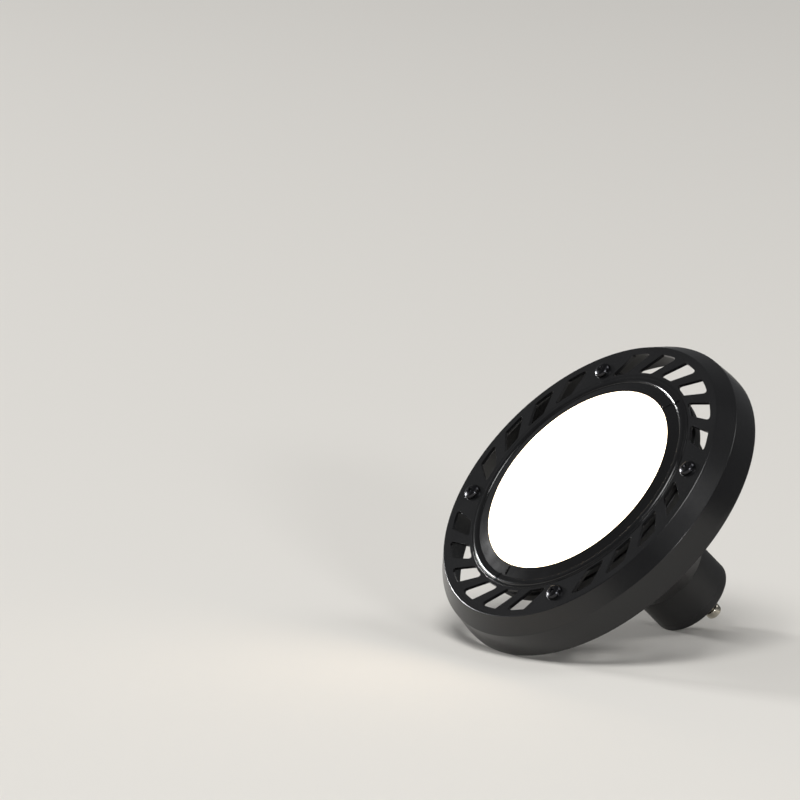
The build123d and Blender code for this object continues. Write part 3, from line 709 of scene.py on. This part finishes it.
class LAMP_OT_front_ring(bpy.types.Operator):
    """Pressed ring with slanted vent slots, its bends and punched edges rounded"""
    bl_idname = "lamp.front_ring"
    bl_label = "Front ring"

    def execute(self, context):
        ring = context.scene.lamp_ring
        face, sheet = RING_FACE, ring.sheet
        bevel_radius = RIM_RADIUS - ring.flare
        bevel_foot = face - ring.bevel_drop
        band_top = RIM_REAR + ring.band
        slope = atan2(ring.bevel_drop, bevel_radius - ring.face)
        wall = atan2(bevel_foot - band_top, ring.flare)
        # How far the sheet's inside falls short at the first bend. At the blunter second it is half that.
        short = sheet * tan(slope / 2)
        bm = bmesh.new()
        turn_profile(bm, [
            (ring.bore, face - sheet),
            (ring.bore, face),
            (ring.face, face),
            (bevel_radius, bevel_foot),
            (RIM_RADIUS, band_top),
            (RIM_RADIUS, RIM_REAR),
            (RIM_RADIUS - sheet, RIM_REAR),
            (RIM_RADIUS - sheet, band_top),
            (bevel_radius - sheet, bevel_foot - short / 2),
            (ring.face - short, face - sheet),
        ], 240)
        for radius, height, bent in (
            (ring.face, face, slope),
            (bevel_radius, bevel_foot, wall - slope),
        ):
            round_edges(bm, reach(ring.bend, bent), radians(12), 5, level_at(height, radius))
        punches = bmesh.new()
        for turn in place_turns(ring, screws=False):
            slot_punch(punches, ring, turn, face - 3 * sheet, face + sheet)
        bm = cut_away(bm, punches)
        bmesh.ops.dissolve_limit(bm, angle_limit=radians(0.3), verts=bm.verts, edges=bm.edges)
        round_edges(bm, ring.edge, CUT_EDGE, 2)
        # Powder coat on smooth sheet: an even satin black that draws a soft line of light along each bend.
        coat = coated_metal(
            "powder_coat_black_satin", context.scene.lamp_finishes.ring,
            lump_mm=0.7, depth_mm=0.008, rough_low=0.2, rough_high=0.27,
        )
        keep_piece(bm, "pressed_ring", coat, "black_coated_sheet", "front_ring")
        return {"FINISHED"}


class LAMP_OT_ring_screws(bpy.types.Operator):
    """Four pan-head screws with cross recesses and threads"""
    bl_idname = "lamp.ring_screws"
    bl_label = "Ring screws"

    def execute(self, context):
        ring, screw = context.scene.lamp_ring, context.scene.lamp_screws
        whole = bmesh.new()
        for number, turn in enumerate(place_turns(ring, screws=True)):
            bm = bmesh.new()
            # From the tip up: the tapered end, the shank, and the domed head in three steps.
            turn_profile(bm, [
                (0, -screw.long),
                (screw.shank * 0.6, -screw.long),
                (screw.shank * PLAIN_SHANK, -screw.long * 0.86),
                (screw.shank * PLAIN_SHANK, 0),
                (screw.head, 0),
                (screw.head, screw.height * 0.35),
                (screw.head * 0.86, screw.height * 0.78),
                (screw.head * 0.5, screw.height),
                (0, screw.height),
            ], 48)
            bm = cut_cross(bm, screw)
            round_edges(bm, screw.edge, CORNER, 2)
            add_thread(bm, screw)
            spot = Matrix.Rotation(turn, 4, "Z") @ Matrix.Translation((slot_circle(ring), 0, RING_FACE))
            spin = Matrix.Rotation(FIRST_SPIN + NEXT_SPIN * number, 4, "Z")
            bmesh.ops.transform(bm, matrix=spot @ spin, verts=bm.verts)
            join(whole, bm)
        # Black zinc plate on steel: a dark metal that gives back small sharp glints.
        plate = plated_metal("steel_black_zinc_plated", linear("#3c3c3f"), 0.5, 0.24)
        keep_piece(whole, "pan_head_screws", plate, "bright_steel", "ring_screws")
        return {"FINISHED"}


class LAMP_OT_bezel(bpy.types.Operator):
    """Gloss bezel with its raised lip, notched in two places"""
    bl_idname = "lamp.bezel"
    bl_label = "Bezel"

    def execute(self, context):
        sizes = context.scene.lamp_bezel
        foot = RING_FACE + sizes.foot
        crest = RING_FACE + sizes.lip_height
        flange = DIFFUSER_BACK + sizes.flange
        inner_edge = DIFFUSER_FACE - sizes.step
        arc = [
            (sizes.lip + sizes.lip_half * cos(step * pi / 10), foot + (crest - foot) * sin(step * pi / 10))
            for step in range(11)
        ]
        bm = bmesh.new()
        turn_profile(bm, arc + [
            (sizes.opening, inner_edge),
            (sizes.opening, flange),
            (sizes.skirt_inner, flange),
            (sizes.skirt_inner, DIFFUSER_BACK),
            (sizes.skirt_outer, DIFFUSER_BACK),
            (sizes.skirt_outer, RING_FACE),
            (sizes.outer, RING_FACE),
            (sizes.outer, foot),
        ], 240)
        round_edges(bm, sizes.edge, CORNER, 3, chosen=lambda edge: (
            abs(edge.verts[0].co.z - edge.verts[1].co.z) < NEAR and edge.verts[0].co.z > RING_FACE + NEAR
        ))
        # The small ribs lie on the slope that falls from the bezel's inner edge to the foot of the lip.
        inside = sizes.lip - sizes.lip_half
        fall = atan2(inner_edge - foot, inside - sizes.opening)
        middle = Vector(((sizes.opening + inside) / 2, 0, (inner_edge + foot) / 2))
        cutters = bmesh.new()
        ribs = bmesh.new()
        for turn in NOTCH_TURNS:
            rounded_bar(
                cutters, 2 * (sizes.lip_half + sizes.notch_depth), sizes.notch, sizes.corner,
                crest - sizes.notch_depth, crest + 2 * MM,
                Matrix.Rotation(turn, 4, "Z") @ Matrix.Translation((sizes.lip, 0, 0)),
            )
            rounded_bar(
                ribs, inside - sizes.opening - sizes.rib_short, sizes.notch * 0.7, sizes.corner,
                -sizes.rib_root, sizes.rib,
                Matrix.Rotation(turn + sizes.rib_lead, 4, "Z") @ Matrix.Translation(middle)
                @ Matrix.Rotation(fall, 4, "Y"),
            )
        round_edges(ribs, sizes.rib_edge, SQUARE_EDGE, 3)
        bm = cut_away(bm, cutters)
        join(bm, ribs)
        plastic = polished_plastic(context.scene.lamp_finishes)
        keep_piece(bm, "gloss_bezel", plastic, "gloss_black_plastic", "bezel")
        return {"FINISHED"}


class LAMP_OT_diffuser(bpy.types.Operator):
    """Opal disc with a softly rounded raised face"""
    bl_idname = "lamp.diffuser"
    bl_label = "Diffuser"

    def execute(self, context):
        sizes = context.scene.lamp_bezel
        raised = sizes.opening - sizes.gap
        flange = DIFFUSER_BACK + sizes.flange
        bm = bmesh.new()
        turn_profile(bm, [
            (0, DIFFUSER_BACK),
            (DIFFUSER_RADIUS, DIFFUSER_BACK),
            (DIFFUSER_RADIUS, flange),
            (raised, flange),
            (raised, DIFFUSER_FACE),
            (0, DIFFUSER_FACE),
        ], 180)
        round_edges(bm, sizes.disc_edge, CORNER, 4, level_at(DIFFUSER_FACE))
        opal = opal_plastic(context.scene.lamp_finishes)
        keep_piece(bm, "opal_disc", opal, "opal_polycarbonate", "diffuser")
        return {"FINISHED"}


class LAMP_OT_heat_sink(bpy.types.Operator):
    """Cast heat sink, its ribs and lugs softened as a casting's are, with the band round its mouth"""
    bl_idname = "lamp.heat_sink"
    bl_label = "Heat sink"

    def execute(self, context):
        # Coat over a die casting: duller than over sheet, because the skin of the casting shows through.
        coat = coated_metal(
            "die_cast_aluminium_black", context.scene.lamp_finishes.sink,
            lump_mm=0.6, depth_mm=0.03, rough_low=0.42, rough_high=0.55,
        )
        sizes = context.scene.lamp_sink
        top = RING_FACE - sizes.band_drop
        band = bmesh.new()
        turn_profile(band, [
            (sizes.band_inner, top - sizes.band_height),
            (sizes.band_outer, top - sizes.band_height),
            (sizes.band_outer, top),
            (sizes.band_inner, top),
        ], 180)
        round_edges(band, sizes.band_edge, SQUARE_EDGE, 3)
        refined_copy("heat_sink", "cast_heat_sink", coat, "black_coated_casting", sizes.edge, CORNER, band)
        return {"FINISHED"}


class LAMP_OT_base(bpy.types.Operator):
    """Moulded driver housing and base cap with softened edges, and two turned contact pins"""
    bl_idname = "lamp.base"
    bl_label = "Base"

    def execute(self, context):
        base = context.scene.lamp_base
        # Polyester from a spark-eroded mould: an even, dry black with no mirror in it.
        plastic = moulded_plastic(
            "pbt_black_spark_eroded", context.scene.lamp_finishes.housing, 0.25, 0.02, 0.46
        )
        refined_copy(
            "driver_housing", "moulded_housing", plastic, "black_plastic", base.housing_edge, radians(25)
        )
        refined_copy("base_cap", "moulded_cap", plastic, "black_plastic", base.cap_edge, CORNER)
        # Nickel plate over turned brass: a warm silver, with fine marks from turning.
        metal = plated_metal("brass_nickel_plated", linear("#cfc9bb"), 0.3, 0.24)
        for side, node in ((1, "contact_pin_left"), (-1, "contact_pin_right")):
            bottom, top = measure(node)[:2]
            bm = bmesh.new()
            turn_profile(bm, [
                (0, bottom),
                (base.pin_head, bottom),
                (base.pin_head, bottom + base.pin_head_length),
                (base.pin_shank, bottom + base.pin_head_length),
                (base.pin_shank, top - base.rivet_height),
                (base.rivet, top - base.rivet_height),
                (base.rivet, top),
                (0, top),
            ], 64)
            # Only the wide end, which is below the cap, is rounded.
            round_edges(bm, base.pin_edge, SQUARE_EDGE, 4, chosen=lambda edge: all(
                vert.co.xy.length > base.pin_shank + NEAR and vert.co.z < 0 for vert in edge.verts
            ))
            bmesh.ops.translate(bm, vec=(0, side * base.pin_spacing / 2, 0), verts=bm.verts)
            keep_piece(bm, node.replace("contact", "turned"), metal, "pin_brass", node)
        return {"FINISHED"}


class LAMP_OT_dress(bpy.types.Operator):
    """Gives each remaining CAD piece its finish"""
    bl_idname = "lamp.dress"
    bl_label = "Dress CAD pieces"

    def execute(self, context):
        dress_nodes(context.scene.lamp_finishes)
        return {"FINISHED"}


def face_towards(item, place, aim):
    """Puts a light or the camera at a place and points it."""
    item.location = place
    item.rotation_euler = (Vector(aim) - Vector(place)).to_track_quat("-Z", "Y").to_euler()
    bpy.context.collection.objects.link(item)


def soft_light(name, place, aim, wide, high, watts):
    """A soft box that faces the lamp."""
    data = bpy.data.lights.new(name, "AREA")
    data.shape = "RECTANGLE"
    data.size, data.size_y, data.energy = wide, high, watts
    face_towards(bpy.data.objects.new(name, data), place, aim)


# The stage in metres: half the floor's side, what the lights face, and where the camera is and looks.
FLOOR_REACH = 8
LIT_SPOT = (0, 0, 0.04)
CAMERA_PLACE = (-1.68868, -2.24869, 0.55154)
CAMERA_AIM = (-0.04546, 0.04154, 0.07254)
# Lens and sensor, in millimetres, that give the photograph's frame from there.
CAMERA_LENS = 423.96
CAMERA_SENSOR = 36


class LAMP_OT_stage(bpy.types.Operator):
    """Pale floor, soft studio light and the camera"""
    bl_idname = "lamp.stage"
    bl_label = "Stage"

    def execute(self, context):
        scene = context.scene
        bm = bmesh.new()
        bmesh.ops.create_grid(bm, x_segments=1, y_segments=1, size=FLOOR_REACH)
        mesh = bpy.data.meshes.new("floor")
        bm.to_mesh(mesh)
        bm.free()
        floor = bpy.data.objects.new("floor", mesh)
        scene.collection.objects.link(floor)
        # Matt painted board: pale and even, so that nothing but the lamp draws the eye.
        material, _, shader = finish_named("matt_pale_floor")
        shader.inputs["Base Color"].default_value = scene.lamp_finishes.floor
        shader.inputs["Roughness"].default_value = 0.9
        mesh.materials.append(material)

        world = bpy.data.worlds.new("studio")
        scene.world = world
        world.use_nodes = True
        background = world.node_tree.nodes["Background"]
        background.inputs["Color"].default_value = linear("#f2f3f5")
        background.inputs["Strength"].default_value = 0.15
        # The two large boxes light the room. The two low ones draw lines of light on the rim and the lip.
        soft_light("key", (-1.6, -1.8, 4.2), LIT_SPOT, wide=2.0, high=2.0, watts=150)
        soft_light("side", (2.6, -1.4, 3.0), LIT_SPOT, wide=1.6, high=1.6, watts=30)
        soft_light("front", (-0.9, -3.05, 0.9), LIT_SPOT, wide=0.5, high=0.24, watts=30)
        soft_light("back", (-1.0, 2.74, 0.72), (0, 0, 0.05), wide=0.7, high=0.24, watts=56)

        camera = bpy.data.cameras.new("camera")
        camera.lens, camera.sensor_width = CAMERA_LENS, CAMERA_SENSOR
        camera.clip_start, camera.clip_end = 0.1, 30
        item = bpy.data.objects.new("camera", camera)
        face_towards(item, CAMERA_PLACE, CAMERA_AIM)
        scene.camera = item
        scene.view_settings.view_transform = "Standard"
        return {"FINISHED"}


class LAMP_PT_panel(bpy.types.Panel):
    """The lamp's pieces in the sidebar"""
    bl_idname = "LAMP_PT_panel"
    bl_label = "Reflector spotlight lamp"
    bl_space_type = "VIEW_3D"
    bl_region_type = "UI"
    bl_category = "Lamp"

    def draw(self, context):
        for operator in PIECES:
            self.layout.operator(operator.bl_idname)


GROUPS = {
    "lamp_ring": RingSizes, "lamp_screws": ScrewSizes, "lamp_bezel": BezelSizes, "lamp_sink": SinkSizes,
    "lamp_base": BaseSizes, "lamp_finishes": Finishes,
}
PIECES = (
    LAMP_OT_front_ring, LAMP_OT_ring_screws, LAMP_OT_bezel, LAMP_OT_diffuser,
    LAMP_OT_heat_sink, LAMP_OT_base, LAMP_OT_dress, LAMP_OT_stage,
)


def register():
    """Makes the sizes, the operators and the panel known to Blender."""
    for group in GROUPS.values():
        bpy.utils.register_class(group)
    for name, group in GROUPS.items():
        setattr(bpy.types.Scene, name, PointerProperty(type=group))
    for piece in PIECES:
        bpy.utils.register_class(piece)
    bpy.utils.register_class(LAMP_PT_panel)


def unregister():
    """Takes them away again."""
    bpy.utils.unregister_class(LAMP_PT_panel)
    for piece in reversed(PIECES):
        bpy.utils.unregister_class(piece)
    for name, group in GROUPS.items():
        delattr(bpy.types.Scene, name)
        bpy.utils.unregister_class(group)


def main():
    """Builds the lamp and its stage."""
    register()
    bpy.ops.lamp.front_ring()
    bpy.ops.lamp.ring_screws()
    bpy.ops.lamp.bezel()
    bpy.ops.lamp.diffuser()
    bpy.ops.lamp.heat_sink()
    bpy.ops.lamp.base()
    bpy.ops.lamp.dress()
    bpy.ops.lamp.stage()


if __name__ == "__main__":
    main()
